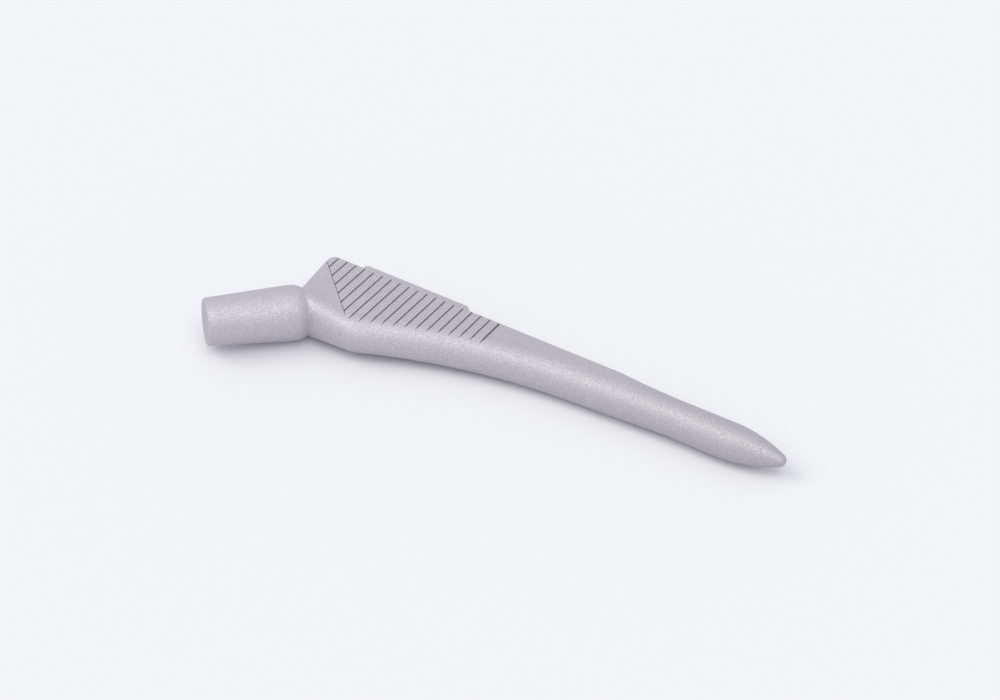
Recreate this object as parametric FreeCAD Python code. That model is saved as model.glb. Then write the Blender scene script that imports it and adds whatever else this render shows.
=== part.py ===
import FreeCAD, Part
import math
import os

# Hip implant stem, forged in one piece. All sizes in millimetres, all angles in degrees.
# The origin is the centre of the trunnion's small end face. X runs along the stem towards its
# distal tip, Y towards the lateral side, and Z is the normal of the stem's plane of symmetry.
# Distances along the neck's axis are called s, distances to the neck's lateral side w.

V = FreeCAD.Vector

# Trunnion: a 12/14 taper and a short land, rounded over into a cone that runs down to the waist.
TAPER_SMALL_D = 12.0
TAPER_LARGE_D = 14.0
TAPER_ANGLE = 5.667
TAPER_EDGE = 0.3
LAND_LENGTH = 2.0
LAND_ROUND_R = 3.0
WAIST_CONE_ANGLE = 23.0
WAIST_D = 12.2
WAIST_LENGTH = 0.25
NECK_TILT = 45.0

# Neck: flares in straight lines from the round waist to the outline of the body. Seen from a
# point on the medial side and spread in Z, outline and circle have the same angles.
FLARE_LENGTH = 7.9
FLARE_SPREAD = 4.6
FLARE_FOCUS = 5.4

# Body in plan: a square shoulder, a straight lateral side and a full-round medial side that
# turns at the calcar into a long hollow curve. The first three sizes are distances from the
# point where the neck's axis enters the body. The calcar's radius is that of the flats' edge.
SHOULDER_SETBACK = 9.47
LATERAL_EDGE_RISE = 12.3
NECK_MEDIAL_DROP = 10.4
SHOULDER_CORNER_R = 1.5
LATERAL_BULGE = 2.35
CALCAR_FLAT_R = 2.95
MEDIAL_CURVE_R = 140.0
MEDIAL_CURVE_LENGTH = 73.4
MEDIAL_END_ANGLE = 3.5
BODY_THICKNESS = 10.1

# Distal stem: the flats run out into a round shaft. The angles place the sharp lateral edge
# and the middle of the flat on that shaft, counted from its lateral side.
STEM_D = 9.36
FLATS_LENGTH = 84.0
RUNOUT_LENGTH = 15.0
RUNOUT_EDGE_ANGLE = 55.0
RUNOUT_FLAT_ANGLE = 72.5
SHAFT_OVERLAP = 5.0

# Nose: a short straight lead, an ogive and a ball-shaped tip that lean to the lateral side.
SHAFT_LENGTH = 14.0
NOSE_LEAD = 1.0
NOSE_LENGTH = 16.0
NOSE_TIP_R = 1.7
NOSE_LEAN = 1.8

# Transverse grooves on both faces, with a steep wall on the side of the shoulder.
GROOVE_COUNT = 19
GROOVE_PITCH = 2.63
FIRST_GROOVE = 1.75
GROOVE_WIDTH = 0.6
GROOVE_DEPTH = 0.42
LAST_GROOVE_SCALE = 1.25

# A finer groove marks the line where the neck meets the body.
NECK_LINE_WIDTH = 0.36
NECK_LINE_DEPTH = 0.28

# Lateral fin: a low keel along the middle of the lateral side.
FIN_START = 7.4
FIN_LENGTH = 31.65
FIN_HEIGHT = 4.3
FIN_THICKNESS = 5.3
FIN_CORNER_R = 1.2
FIN_END_R = 2.2
FIN_ROOT = 2.0

# Number of steps between the sections that shape the run-out.
RUNOUT_STEPS = 3

# Reach of cutting tools beyond the surface, the size of half-space blocks and the tolerance
# for finding faces and edges.
CUT_OVER = 1.5
BLOCK_SIZE = 400.0
CLOSE = 0.01

UP = V(0, 0, 1)
STEM_R = STEM_D / 2
BODY_HALF = BODY_THICKNESS / 2
WAIST_R = WAIST_D / 2
NECK_AXIS = V(math.cos(math.radians(NECK_TILT)), math.sin(math.radians(NECK_TILT)), 0)
NECK_SIDE = V(-NECK_AXIS.y, NECK_AXIS.x, 0)

TAPER_LENGTH = (TAPER_LARGE_D - TAPER_SMALL_D) / 2 / math.tan(math.radians(TAPER_ANGLE / 2))
LAND_END = TAPER_LENGTH + LAND_LENGTH
CONE_ANGLE = math.radians(WAIST_CONE_ANGLE)
CONE_START = LAND_END + LAND_ROUND_R * math.sin(CONE_ANGLE)
CONE_START_R = TAPER_LARGE_D / 2 - LAND_ROUND_R * (1 - math.cos(CONE_ANGLE))
WAIST_START = CONE_START + (CONE_START_R - WAIST_R) / math.tan(CONE_ANGLE)
FLARE_START = WAIST_START + WAIST_LENGTH
FLARE_END = FLARE_START + FLARE_LENGTH

BODY_ENTRY = NECK_AXIS * FLARE_END
SHOULDER_X = BODY_ENTRY.x - SHOULDER_SETBACK
LATERAL_EDGE_Y = BODY_ENTRY.y + LATERAL_EDGE_RISE
NECK_MEDIAL_Y = BODY_ENTRY.y - NECK_MEDIAL_DROP
STEM_AXIS_Y = LATERAL_EDGE_Y + LATERAL_BULGE - STEM_R
MEDIAL_CURVE_END_X = SHOULDER_X + MEDIAL_CURVE_LENGTH
BODY_BEGIN_X = SHOULDER_X - CUT_OVER
RUNOUT_START_X = SHOULDER_X + FLATS_LENGTH
RUNOUT_END_X = RUNOUT_START_X + RUNOUT_LENGTH
BODY_END_X = RUNOUT_END_X + SHAFT_OVERLAP
NOSE_START_X = RUNOUT_END_X + SHAFT_LENGTH


def mix(a, b, share):
    return a + (b - a) * share


def on_neck(s, w, z):
    """Point at distance s along the neck axis, w to its lateral side and z above the mid-plane."""
    return NECK_AXIS * s + NECK_SIDE * w + V(0, 0, z)


def beyond(distance, direction):
    """Block that holds everything further along a direction than the given distance."""
    corner = V(0, -BLOCK_SIZE / 2, -BLOCK_SIZE / 2)
    block = Part.makeBox(BLOCK_SIZE, BLOCK_SIZE, BLOCK_SIZE, corner)
    turn = FreeCAD.Rotation(V(1, 0, 0), direction)
    block.Placement = FreeCAD.Placement(direction * distance, turn)
    return block


def arc_or_line(a, b, c):
    """Arc from a through b to c, or a line where the three points are in a row."""
    if b.distanceToLine(a, c - a) < CLOSE ** 2:
        return Part.LineSegment(a, c).toShape()
    return Part.Arc(a, b, c).toShape()


def trunnion():
    """Taper, land, rounding, cone and waist, turned about the neck axis."""
    small = TAPER_SMALL_D / 2
    large = TAPER_LARGE_D / 2
    middle_s = LAND_END + LAND_ROUND_R * math.sin(CONE_ANGLE / 2)
    middle_r = large - LAND_ROUND_R * (1 - math.cos(CONE_ANGLE / 2))
    land_end = on_neck(LAND_END, large, 0)
    cone_start = on_neck(CONE_START, CONE_START_R, 0)
    taper = Part.makePolygon([
        on_neck(0, 0, 0),
        on_neck(0, small - TAPER_EDGE, 0),
        on_neck(TAPER_EDGE, small, 0),
        on_neck(TAPER_LENGTH, large, 0),
        land_end,
    ])
    rounding = Part.Arc(land_end, on_neck(middle_s, middle_r, 0), cone_start).toShape()
    waist = Part.makePolygon([
        cone_start,
        on_neck(WAIST_START, WAIST_R, 0),
        on_neck(FLARE_START, WAIST_R, 0),
        on_neck(FLARE_START, 0, 0),
        on_neck(0, 0, 0),
    ])
    profile = Part.Face(Part.Wire(taper.Edges + [rounding] + waist.Edges))
    return profile.revolve(V(0, 0, 0), NECK_AXIS, 360)


def medial_line_y(x):
    """Straight medial outline ahead of the round shaft, and the shaft's own outline."""
    ahead = max(RUNOUT_END_X - x, 0.0)
    return STEM_AXIS_Y - STEM_R - ahead * math.tan(math.radians(MEDIAL_END_ANGLE))


def medial_centres():
    """Centres of the calcar corner and of the long medial curve, and the corner's turn."""
    end = math.radians(MEDIAL_END_ANGLE)
    curve_end = V(MEDIAL_CURVE_END_X, medial_line_y(MEDIAL_CURVE_END_X), 0)
    curve = curve_end + V(math.sin(end), -math.cos(end), 0) * MEDIAL_CURVE_R
    corner_r = CALCAR_FLAT_R + BODY_HALF
    corner_y = NECK_MEDIAL_Y + corner_r
    reach = MEDIAL_CURVE_R + corner_r
    corner = V(curve.x - math.sqrt(reach ** 2 - (corner_y - curve.y) ** 2), corner_y, 0)
    return corner, curve, math.atan2(curve.x - corner.x, corner.y - curve.y)


def plan_turn(angle):
    """Direction in plan that points medially at no angle and turns distally with it."""
    return V(math.sin(angle), -math.cos(angle), 0)


def flat_slab():
    """Flat-sided middle of the body, up to the line where the medial rounding begins."""
    corner, curve, turn = medial_centres()
    end = math.radians(MEDIAL_END_ANGLE)
    curve_r = MEDIAL_CURVE_R + BODY_HALF
    neck = V(BODY_BEGIN_X, NECK_MEDIAL_Y + BODY_HALF, 0)
    corner_start = V(corner.x, neck.y, 0)
    corner_end = corner + plan_turn(turn) * CALCAR_FLAT_R
    curve_end = curve - plan_turn(end) * curve_r
    runout_y = curve_end.y + (RUNOUT_START_X - curve_end.x) * math.tan(end)
    runout = V(RUNOUT_START_X, runout_y, 0)
    sides = Part.makePolygon([
        curve_end,
        runout,
        V(RUNOUT_START_X, LATERAL_EDGE_Y, 0),
        V(BODY_BEGIN_X, LATERAL_EDGE_Y, 0),
        neck,
        corner_start,
    ])
    corner_middle = corner + plan_turn(turn / 2) * CALCAR_FLAT_R
    curve_middle = curve - plan_turn((turn + end) / 2) * curve_r
    arcs = [
        Part.Arc(corner_start, corner_middle, corner_end).toShape(),
        Part.Arc(corner_end, curve_middle, curve_end).toShape(),
    ]
    plan = Part.Face(Part.Wire(sides.Edges + arcs))
    plan.translate(UP * -BODY_HALF)
    return plan.extrude(UP * BODY_THICKNESS)


def half_round(x, y, depth):
    """Segment across the body's thickness at station x, bulging from y by a depth."""
    top = V(x, y, BODY_HALF)
    bottom = V(x, y, -BODY_HALF)
    arc = Part.Arc(top, V(x, y + depth, 0), bottom).toShape()
    return Part.Face(Part.Wire([arc, Part.makeLine(bottom, top)]))


def medial_rounding():
    """Half-round edge along the neck's medial side, the calcar, the long curve and the line."""
    corner, curve, turn = medial_centres()
    profile = half_round(BODY_BEGIN_X, NECK_MEDIAL_Y + BODY_HALF, -BODY_HALF)
    neck = V(corner.x - BODY_BEGIN_X, 0, 0)
    pieces = [profile.extrude(neck)]
    profile.translate(neck)
    pieces.append(profile.revolve(corner, UP, math.degrees(turn)))
    profile.rotate(corner, UP, math.degrees(turn))
    bend = math.degrees(turn) - MEDIAL_END_ANGLE
    pieces.append(profile.revolve(curve, -UP, bend))
    profile.rotate(curve, -UP, bend)
    end = math.radians(MEDIAL_END_ANGLE)
    length = RUNOUT_START_X - MEDIAL_CURVE_END_X + BODY_THICKNESS
    pieces.append(profile.extrude(V(math.cos(end), math.sin(end), 0) * length))
    return [piece.cut(beyond(RUNOUT_START_X, V(1, 0, 0))) for piece in pieces]


def lateral_bulge():
    profile = half_round(BODY_BEGIN_X, LATERAL_EDGE_Y, LATERAL_BULGE)
    return profile.extrude(V(RUNOUT_START_X - BODY_BEGIN_X, 0, 0))


def runout_section(x):
    """Section at station x, on the way from the flat-sided body to the round shaft."""
    share = min((x - RUNOUT_START_X) / RUNOUT_LENGTH, 1.0)
    half = mix(BODY_HALF, STEM_R, share)
    medial_y = medial_line_y(x)
    slope = math.tan(math.radians(MEDIAL_END_ANGLE)) * (1 if share < 1 else 0)
    centre_y = medial_y + half * math.sqrt(1 + slope ** 2)
    # The sharp lateral edges slide round the shaft as the flats run out.
    edge_angle = math.radians(RUNOUT_EDGE_ANGLE)
    edge_y = mix(LATERAL_EDGE_Y, centre_y + STEM_R * math.cos(edge_angle), share)
    edge_z = mix(half, STEM_R * math.sin(edge_angle), share)
    flat_angle = math.radians(RUNOUT_FLAT_ANGLE)
    flat_y = mix((LATERAL_EDGE_Y + centre_y) / 2, centre_y + STEM_R * math.cos(flat_angle), share)
    flat_z = mix(half, STEM_R * math.sin(flat_angle), share)
    upper = arc_or_line(V(x, edge_y, edge_z), V(x, flat_y, flat_z), V(x, centre_y, half))
    lower = arc_or_line(V(x, centre_y, -half), V(x, flat_y, -flat_z), V(x, edge_y, -edge_z))
    half_width = min(half, centre_y - medial_y)
    ellipse = Part.Ellipse(V(x, medial_y, 0), V(x, centre_y, half_width), V(x, centre_y, 0))
    medial = Part.ArcOfEllipse(ellipse, -math.pi / 2, math.pi / 2).toShape()
    crown = V(x, LATERAL_EDGE_Y + LATERAL_BULGE, 0)
    lateral = Part.Arc(V(x, edge_y, -edge_z), crown, V(x, edge_y, edge_z)).toShape()
    return Part.Wire(Part.__sortEdges__([upper, medial, lower, lateral]))


def runout():
    """Transition from the flat-sided body to the round shaft."""
    step = RUNOUT_LENGTH / RUNOUT_STEPS
    stations = [RUNOUT_START_X + step * i for i in range(RUNOUT_STEPS + 1)] + [BODY_END_X]
    return Part.makeLoft([runout_section(x) for x in stations], True, False)


def body():
    """Body behind the shoulder, cut square to the neck where the flare meets it."""
    blank = flat_slab().fuse(medial_rounding() + [lateral_bulge(), runout()])
    shape = blank.removeSplitter().common(beyond(SHOULDER_X, V(1, 0, 0)))
    corner = []
    for edge in shape.Edges:
        middle = edge.CenterOfMass
        if abs(middle.x - SHOULDER_X) < CLOSE and middle.y > LATERAL_EDGE_Y - CLOSE:
            corner.append(edge)
    rounded = shape.makeFillet(SHOULDER_CORNER_R, corner)
    return rounded.common(beyond(FLARE_END, NECK_AXIS))


def neck_face(shape):
    """The body's flat face that is square to the neck."""
    for face in shape.Faces:
        middle = face.CenterOfMass
        if isinstance(face.Surface, Part.Plane) and abs(middle.dot(NECK_AXIS) - FLARE_END) < CLOSE:
            return face


def waist_section(outline):
    """The waist's circle, split so that each arc has its own edge of the body's outline."""
    arcs = []
    for edge in outline.OrderedEdges:
        points = []
        for p in edge.discretize(3):
            angle = math.atan2(FLARE_SPREAD * p.z, p.dot(NECK_SIDE) + FLARE_FOCUS)
            points.append(on_neck(FLARE_START, WAIST_R * math.cos(angle), WAIST_R * math.sin(angle)))
        arcs.append(Part.Arc(*points).toShape())
    return Part.Wire(arcs)


def neck_flare(shape):
    """Straight-sided transition from the round waist to the body's D-shaped outline."""
    outline = neck_face(shape).OuterWire
    return Part.makeLoft([waist_section(outline), outline], True, True)


def shaft():
    """Round shaft, mitred where the nose starts to lean."""
    start = V(BODY_END_X, STEM_AXIS_Y, 0)
    length = NOSE_START_X + STEM_R - BODY_END_X
    return Part.makeCylinder(STEM_R, length, start, V(1, 0, 0)).cut(nose_side())


def nose_side():
    """Everything distal of the mitre plane, which halves the angle between shaft and nose."""
    half_lean = math.radians(NOSE_LEAN / 2)
    normal = V(math.cos(half_lean), math.sin(half_lean), 0)
    return beyond(normal.dot(V(NOSE_START_X, STEM_AXIS_Y, 0)), normal)


def nose():
    """Lead, ogive and tip ball, turned about the leaning axis."""
    ball_x = NOSE_LENGTH - NOSE_TIP_R
    # The ogive starts along the lead and holds the tip ball from outside.
    ogive_r = (ball_x ** 2 + STEM_R ** 2 - NOSE_TIP_R ** 2) / (2 * (STEM_R - NOSE_TIP_R))
    contact = math.asin(ball_x / (ogive_r - NOSE_TIP_R))

    def on_ogive(angle):
        return V(ogive_r * math.sin(angle), STEM_R - ogive_r * (1 - math.cos(angle)), 0)

    def on_ball(angle):
        return V(ball_x + NOSE_TIP_R * math.sin(angle), NOSE_TIP_R * math.cos(angle), 0)

    last = math.pi / 2
    ogive = Part.Arc(on_ogive(0), on_ogive(contact / 2), on_ogive(contact)).toShape()
    ball = Part.Arc(on_ball(contact), on_ball((contact + last) / 2), on_ball(last)).toShape()
    lead_start = -NOSE_LEAD - STEM_R
    back = [on_ball(last), V(lead_start, 0, 0), V(lead_start, STEM_R, 0), on_ogive(0)]
    profile = Part.Face(Part.Wire([ogive, ball] + Part.makePolygon(back).Edges))
    shape = profile.revolve(V(0, 0, 0), V(1, 0, 0), 360)
    shape.translate(V(NOSE_START_X + NOSE_LEAD, STEM_AXIS_Y, 0))
    shape.rotate(V(NOSE_START_X, STEM_AXIS_Y, 0), UP, NOSE_LEAN)
    return shape.common(nose_side())


def fin():
    """Keel on the lateral side, with rounded outer corners."""
    start_x = SHOULDER_X + FIN_START
    root_y = LATERAL_EDGE_Y - FIN_ROOT
    tip_y = LATERAL_EDGE_Y + FIN_HEIGHT
    size = V(FIN_LENGTH, tip_y - root_y, FIN_THICKNESS)
    shape = Part.makeBox(size.x, size.y, size.z, V(start_x, root_y, -FIN_THICKNESS / 2))
    for x, radius in ((start_x, FIN_CORNER_R), (start_x + FIN_LENGTH, FIN_END_R)):
        corner = V(x, tip_y, 0)
        edges = [e for e in shape.Edges if e.CenterOfMass.distanceToPoint(corner) < CLOSE]
        shape = shape.makeFillet(radius, edges)
    return shape


def groove_cutters(wall, ramp, along, depth):
    """Bars for both faces: a steep wall at the given place and a ramp up to the surface."""
    up = V(0, 0, CUT_OVER)
    points = [wall - V(0, 0, depth), wall + ramp * (1 + CUT_OVER / depth) + up, wall + up]
    upper = Part.Face(Part.makePolygon(points + points[:1])).extrude(along)
    return [upper, upper.mirror(V(0, 0, 0), V(0, 0, 1))]


def transverse_grooves():
    """Grooves square to the stem, open at the lateral edge and fading out on the medial round."""
    zone = beyond(FLARE_END, NECK_AXIS)
    cutters = []
    for i in range(GROOVE_COUNT):
        x = SHOULDER_X + FIRST_GROOVE + i * GROOVE_PITCH
        scale = LAST_GROOVE_SCALE if i == GROOVE_COUNT - 1 else 1.0
        wall = V(x, 0, BODY_HALF)
        ramp = V(GROOVE_WIDTH * scale, 0, 0)
        along = V(0, LATERAL_EDGE_Y + CUT_OVER, 0)
        cutters += groove_cutters(wall, ramp, along, GROOVE_DEPTH * scale)
    return [cutter.common(zone) for cutter in cutters]


def neck_line():
    """Fine groove along the line where the neck's faces meet the flats."""
    wall = on_neck(FLARE_END, -LATERAL_EDGE_Y, BODY_HALF)
    ramp = NECK_AXIS * NECK_LINE_WIDTH
    return groove_cutters(wall, ramp, NECK_SIDE * 2 * LATERAL_EDGE_Y, NECK_LINE_DEPTH)


def hip_stem():
    main = body()
    stem = main.fuse([neck_flare(main), trunnion(), fin(), shaft(), nose()])
    return stem.cut(transverse_grooves() + neck_line())


os.makedirs("parts", exist_ok=True)
hip_stem().exportStep("parts/hip_stem.step")
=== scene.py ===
"""Looks of the bead-blasted hip implant stem, lying on a plain pale floor in soft studio light.

Lengths are in metres, angles in degrees, and the scale of a texture is its cells to the metre.
"""

import math

import bpy
from mathutils import Matrix, Vector


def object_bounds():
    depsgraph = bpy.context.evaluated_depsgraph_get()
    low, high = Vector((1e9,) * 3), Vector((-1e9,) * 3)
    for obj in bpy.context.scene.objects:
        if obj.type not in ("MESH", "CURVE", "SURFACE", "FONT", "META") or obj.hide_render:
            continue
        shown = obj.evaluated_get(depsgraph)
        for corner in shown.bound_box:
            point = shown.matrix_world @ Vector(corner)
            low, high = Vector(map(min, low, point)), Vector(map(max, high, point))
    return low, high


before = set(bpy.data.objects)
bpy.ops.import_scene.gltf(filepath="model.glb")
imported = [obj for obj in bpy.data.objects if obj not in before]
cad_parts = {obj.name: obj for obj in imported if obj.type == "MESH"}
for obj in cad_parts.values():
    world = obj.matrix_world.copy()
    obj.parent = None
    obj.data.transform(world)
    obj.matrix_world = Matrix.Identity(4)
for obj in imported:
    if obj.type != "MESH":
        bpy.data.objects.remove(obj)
cad_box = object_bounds()

# Camera: its direction from the object, its roll, its distance from the point at the middle of
# the picture, and its lens and the width of its sensor, these two in millimetres.
CAMERA_AZIMUTH = 28.582
CAMERA_ELEVATION = 37.535
CAMERA_ROLL = 3.969
CAMERA_DISTANCE = 0.748753
CAMERA_TARGET = Vector((0.062178, 0.038845, -0.005737))
CAMERA_LENS = 108.0
CAMERA_SENSOR = 36.0

# Floor: the stem lies on its cone and the lateral edge of its body, so the floor tilts about X.
FLOOR_TILT = 5.529
FLOOR_SIZE = 6.0
PALE = (0.905, 0.913, 0.947, 1.0)

# Light: a pale surround and two broad lamps, one high on the left and one just right of the
# top, each with the direction that it stands in and its strength.
SURROUND = 0.65
SURROUND_TINT = (0.996, 1.006, 1.041, 1.0)
LAMP_TINT = (1.0, 0.98, 0.92)
LAMP_WIDTH = 40.0
LAMPS = {
    "lamp_left": (Vector((-0.9, -0.6, 1.0)), 0.74),
    "lamp_top": (Vector((0.35, -0.45, 1.0)), 0.63),
}

# Metal: its colour, its tint at grazing angles, and a painted fall-off of light, lighter at the
# trunnion and darker at the tip.
METAL = (0.551, 0.525, 0.557)
METAL_RIM = (0.74, 0.77, 0.85, 1.0)
METAL_PAINTED_FALLOFF = (1.055, 0.945)

# Grain of the blasted surface: its height, and its shade and roughness from pits to peaks.
GRAIN_SCALE = 4600.0
GRAIN_DETAIL = 2.0
GRAIN_SHARPNESS = 0.6
GRAIN_HEIGHT = 0.00004
GRAIN_SHADE = (0.93, 1.07)
GRAIN_ROUGHNESS = (0.86, 0.46)

# Clouds: soft patches, much larger than the grain. Their roughness is added to the grain's.
CLOUD_SCALE = 70.0
CLOUD_DETAIL = 3.0
CLOUD_SHARPNESS = 0.5
CLOUD_SHADE = (0.985, 1.015)
CLOUD_ROUGHNESS = (0.0, 0.03)

# Sparkle: small facets, lifted in colour as a painted glint and smoother so that they catch the
# light, and the share of them that sparkle.
FACET_SCALE = 6000.0
FACET_SHARE = 0.14

# Wear on corners, and painted shade in hollows and in narrow creases: how far around a point the
# surface is felt, and how open it is where the mark begins and where it is full.
CORNER_REACH = 0.00035
CORNER_OPENNESS = (0.95, 0.5)
HOLLOW_REACH = 0.0015
HOLLOW_OPENNESS = (0.95, 0.4)
CREASE_REACH = 0.0003
CREASE_OPENNESS = (0.92, 0.55)
OPENNESS_SAMPLES = 8

# Burrs on the corners: the heights of a noise where one begins and where it is full.
BURR_SCALE = 900.0
BURR_DETAIL = 2.0
BURR_SHARPNESS = 0.5
BURR_HEIGHTS = (0.68, 0.74)

# Scratch: one short stroke near the tip, with its middle, its half sizes, its turn about Y, and
# the share of the way from its edge to its middle where it is full.
SCRATCH_PLACE = (0.12735, 0.02868, 0.0)
SCRATCH_SIZE = (0.00045, 0.0003, 0.00012)
SCRATCH_TURN = -42.0
SCRATCH_FADE = 0.5

# Places along the neck, whose axis has X and Y alike, told by the sum of X and Y: where the end
# face's painted shade begins and is full, and the fine groove where the neck ends, darkened with
# painted shade, with its reach.
END_FACE_SUMS = (0.00018, 0.00006)
NECK_LINE_SUM = 0.04705
NECK_LINE_REACH = 0.0005

# By what each mark multiplies the shade and what it adds to the roughness where it is full.
MARK_SHADE = {
    # sparkle: its lift in colour is a painted glint
    "sparkle": 1.14,
    "corner": 1.15,
    # hollows darkened with painted shade
    "hollow_shade": 0.88,
    # fine groove where the neck ends, darkened with painted shade
    "neck_line": 0.6,
    "burr": 1.45,
    "scratch": 1.25,
    # end face darkened with painted shade
    "end_face_shade": 0.94,
}
MARK_ROUGHNESS = {"sparkle": -0.3, "corner": -0.12}

# Range that holds nearly all values of a noise texture.
NOISE_RANGE = (0.3, 0.7)


class Nodes:
    """Short calls that add nodes and link them."""

    def __init__(self, tree):
        self.tree = tree
        tree.nodes.clear()

    def add(self, kind, **values):
        node = self.tree.nodes.new(kind)
        for name, value in values.items():
            setattr(node, name, value)
        return node

    def link(self, output, target):
        self.tree.links.new(output, target)

    def noise(self, place, scale, detail, sharpness):
        node = self.add("ShaderNodeTexNoise")
        node.inputs["Scale"].default_value = scale
        node.inputs["Detail"].default_value = detail
        node.inputs["Roughness"].default_value = sharpness
        self.link(place, node.inputs["Vector"])
        return node.outputs["Fac"]

    def spread(self, value, source, target):
        """Map one range of values to another, held at both ends."""
        node = self.add("ShaderNodeMapRange")
        for name, number in zip(("From Min", "From Max", "To Min", "To Max"), source + target):
            node.inputs[name].default_value = number
        self.link(value, node.inputs["Value"])
        return node.outputs["Result"]

    def mask(self, value, source):
        """Nothing at the start of a range of values, and full at its end."""
        return self.spread(value, source, (0.0, 1.0))

    def openness(self, reach, inside):
        """How open the surface is within a short reach, into the metal or outwards."""
        node = self.add("ShaderNodeAmbientOcclusion", inside=inside, only_local=True)
        node.samples = OPENNESS_SAMPLES
        node.inputs["Distance"].default_value = reach
        return node.outputs["AO"]

    def math(self, operation, *values):
        node = self.add("ShaderNodeMath", operation=operation)
        for socket, value in zip(node.inputs, values):
            if isinstance(value, float):
                socket.default_value = value
            else:
                self.link(value, socket)
        return node.outputs["Value"]


def sparkle(n, place):
    """Facets picked at random, some faint and some full."""
    facets = n.add("ShaderNodeTexVoronoi")
    facets.inputs["Scale"].default_value = FACET_SCALE
    n.link(place, facets.inputs["Vector"])
    chance = n.add("ShaderNodeSeparateColor")
    n.link(facets.outputs["Color"], chance.inputs["Color"])
    return n.mask(chance.outputs["Red"], (1 - FACET_SHARE, 1.0))


def scratch(n, place):
    """Short stroke on the medial side of the shaft."""
    stroke = n.add("ShaderNodeMapping", vector_type="TEXTURE")
    stroke.inputs["Location"].default_value = SCRATCH_PLACE
    stroke.inputs["Rotation"].default_value = (0.0, math.radians(SCRATCH_TURN), 0.0)
    stroke.inputs["Scale"].default_value = SCRATCH_SIZE
    n.link(place, stroke.inputs["Vector"])
    ball = n.add("ShaderNodeTexGradient", gradient_type="SPHERICAL")
    n.link(stroke.outputs["Vector"], ball.inputs["Vector"])
    return n.mask(ball.outputs["Fac"], (0.0, SCRATCH_FADE))


def surface_marks(n, place, along_neck):
    """Where each mark lies on the surface, from nothing to full."""
    corner = n.mask(n.openness(CORNER_REACH, inside=True), CORNER_OPENNESS)
    crease = n.mask(n.openness(CREASE_REACH, inside=False), CREASE_OPENNESS)
    neck_line = n.math("COMPARE", along_neck, NECK_LINE_SUM, NECK_LINE_REACH)
    burr = n.mask(n.noise(place, BURR_SCALE, BURR_DETAIL, BURR_SHARPNESS), BURR_HEIGHTS)
    return {
        # facets whose colour lift is a painted glint
        "sparkle": sparkle(n, place),
        "corner": corner,
        # painted shade in hollows
        "hollow_shade": n.mask(n.openness(HOLLOW_REACH, inside=False), HOLLOW_OPENNESS),
        # painted shade in the neck's fine groove
        "neck_line": n.math("MULTIPLY", crease, neck_line),
        "burr": n.math("MULTIPLY", corner, burr),
        "scratch": scratch(n, place),
        # painted shade on the trunnion's end face
        "end_face_shade": n.mask(along_neck, END_FACE_SUMS),
    }


def blasted_titanium():
    """Satin grey metal: fine grain, worn corners, facets with a painted glint, painted shade in
    hollows, in the neck's fine groove and on the end face, and a painted fall-off of light along
    it.
    """
    material = bpy.data.materials.new("blasted_titanium")
    material.use_nodes = True
    n = Nodes(material.node_tree)
    place = n.add("ShaderNodeTexCoord").outputs["Object"]
    split = n.add("ShaderNodeSeparateXYZ")
    n.link(place, split.inputs["Vector"])
    x = split.outputs["X"]
    marks = surface_marks(n, place, n.math("ADD", x, split.outputs["Y"]))
    grain = n.noise(place, GRAIN_SCALE, GRAIN_DETAIL, GRAIN_SHARPNESS)
    clouds = n.noise(place, CLOUD_SCALE, CLOUD_DETAIL, CLOUD_SHARPNESS)

    # Painted fall-off of light: lighter at the trunnion, darker at the tip.
    shade = n.spread(x, (cad_box[0][0], cad_box[1][0]), METAL_PAINTED_FALLOFF)
    shade = n.math("MULTIPLY", shade, n.spread(grain, NOISE_RANGE, GRAIN_SHADE))
    shade = n.math("MULTIPLY", shade, n.spread(clouds, NOISE_RANGE, CLOUD_SHADE))
    for name, change in MARK_SHADE.items():
        shade = n.math("MULTIPLY", shade, n.spread(marks[name], (0.0, 1.0), (1.0, change)))
    colour = n.add("ShaderNodeVectorMath", operation="SCALE")
    colour.inputs[0].default_value = METAL
    n.link(shade, colour.inputs["Scale"])

    rough = n.spread(grain, NOISE_RANGE, GRAIN_ROUGHNESS)
    rough = n.math("ADD", rough, n.spread(clouds, NOISE_RANGE, CLOUD_ROUGHNESS))
    for name, change in MARK_ROUGHNESS.items():
        rough = n.math("ADD", rough, n.spread(marks[name], (0.0, 1.0), (0.0, change)))

    bump = n.add("ShaderNodeBump")
    bump.inputs["Strength"].default_value = 1.0
    bump.inputs["Distance"].default_value = GRAIN_HEIGHT
    n.link(grain, bump.inputs["Height"])

    shader = n.add("ShaderNodeBsdfPrincipled")
    shader.inputs["Metallic"].default_value = 1.0
    shader.inputs["Specular Tint"].default_value = METAL_RIM
    n.link(colour.outputs["Vector"], shader.inputs["Base Color"])
    n.link(rough, shader.inputs["Roughness"])
    n.link(bump.outputs["Normal"], shader.inputs["Normal"])
    n.link(shader.outputs["BSDF"], n.add("ShaderNodeOutputMaterial").inputs["Surface"])
    return material


def surround():
    """Pale world, seen as it is by the camera and in reflections, dimmer as a light."""
    world = bpy.data.worlds.new("surround")
    bpy.context.scene.world = world
    world.use_nodes = True
    n = Nodes(world.node_tree)
    rays = n.add("ShaderNodeLightPath").outputs
    seen = n.math("MAXIMUM", rays["Is Glossy Ray"], rays["Is Transmission Ray"])
    seen = n.math("MAXIMUM", rays["Is Camera Ray"], seen)
    light = n.add("ShaderNodeBackground")
    light.inputs["Color"].default_value = SURROUND_TINT
    light.inputs["Strength"].default_value = SURROUND
    pale = n.add("ShaderNodeBackground")
    pale.inputs["Color"].default_value = PALE
    mix = n.add("ShaderNodeMixShader")
    n.link(seen, mix.inputs["Fac"])
    n.link(light.outputs["Background"], mix.inputs[1])
    n.link(pale.outputs["Background"], mix.inputs[2])
    n.link(mix.outputs["Shader"], n.add("ShaderNodeOutputWorld").inputs["Surface"])


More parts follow.
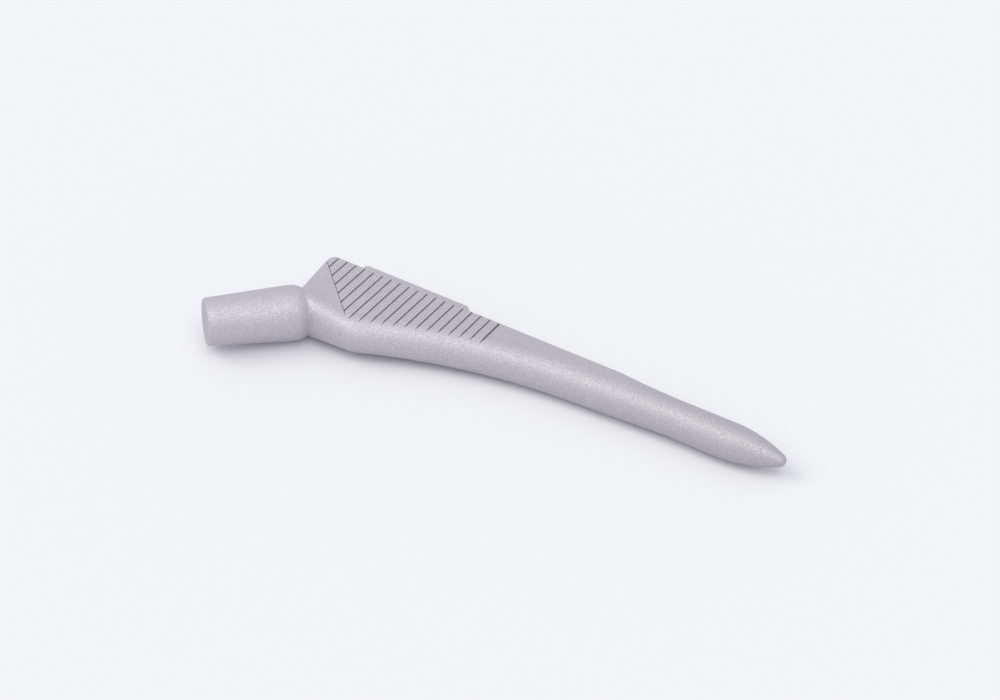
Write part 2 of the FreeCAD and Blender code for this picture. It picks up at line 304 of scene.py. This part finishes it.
def floor(stem):
    """Plain pale floor in the plane that the stem comes to rest on."""
    turn = Matrix.Rotation(math.radians(FLOOR_TILT), 3, "X")
    up = turn @ Vector((0, 0, 1))
    lowest = min(up.dot(v.co) for v in stem.data.vertices)
    centre = sum((Vector(corner) for corner in cad_box), Vector()) / 2
    middle = centre + up * (lowest - up.dot(centre))
    reach = FLOOR_SIZE / 2
    corners = [(-reach, -reach), (reach, -reach), (reach, reach), (-reach, reach)]
    mesh = bpy.data.meshes.new("floor")
    mesh.from_pydata([middle + turn @ Vector((x, y, 0)) for x, y in corners], [], [(0, 1, 2, 3)])
    obj = bpy.data.objects.new("floor", mesh)
    bpy.context.collection.objects.link(obj)
    material = bpy.data.materials.new("floor")
    material.use_nodes = True
    n = Nodes(material.node_tree)
    shader = n.add("ShaderNodeBsdfDiffuse")
    shader.inputs["Color"].default_value = PALE
    n.link(shader.outputs["BSDF"], n.add("ShaderNodeOutputMaterial").inputs["Surface"])
    mesh.materials.append(material)


def lamps():
    """Broad lamps at a great distance, each shining from its direction."""
    for name, (source, strength) in LAMPS.items():
        lamp = bpy.data.lights.new(name, "SUN")
        lamp.energy = strength
        lamp.color = LAMP_TINT
        lamp.angle = math.radians(LAMP_WIDTH)
        obj = bpy.data.objects.new(name, lamp)
        obj.rotation_euler = source.to_track_quat("Z", "Y").to_euler()
        bpy.context.collection.objects.link(obj)


def camera():
    """Camera at the photograph's viewing angle, with its slight roll."""
    azimuth = math.radians(CAMERA_AZIMUTH)
    elevation = math.radians(CAMERA_ELEVATION)
    roll = math.radians(CAMERA_ROLL)
    level = math.cos(elevation)
    back = Vector((math.sin(azimuth) * level, -math.cos(azimuth) * level, math.sin(elevation)))
    right = Vector((math.cos(azimuth), math.sin(azimuth), 0))
    up = back.cross(right)
    x = right * math.cos(roll) + up * math.sin(roll)
    y = up * math.cos(roll) - right * math.sin(roll)
    data = bpy.data.cameras.new("camera")
    data.lens = CAMERA_LENS
    data.sensor_width = CAMERA_SENSOR
    obj = bpy.data.objects.new("camera", data)
    turn = Matrix((x, y, back)).transposed().to_4x4()
    obj.matrix_world = Matrix.Translation(CAMERA_TARGET + back * CAMERA_DISTANCE) @ turn
    bpy.context.collection.objects.link(obj)
    bpy.context.scene.camera = obj


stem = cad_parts["hip_stem"]
stem.data.materials.clear()
stem.data.materials.append(blasted_titanium())
surround()
floor(stem)
lamps()
camera()
bpy.context.scene.view_settings.view_transform = "Standard"
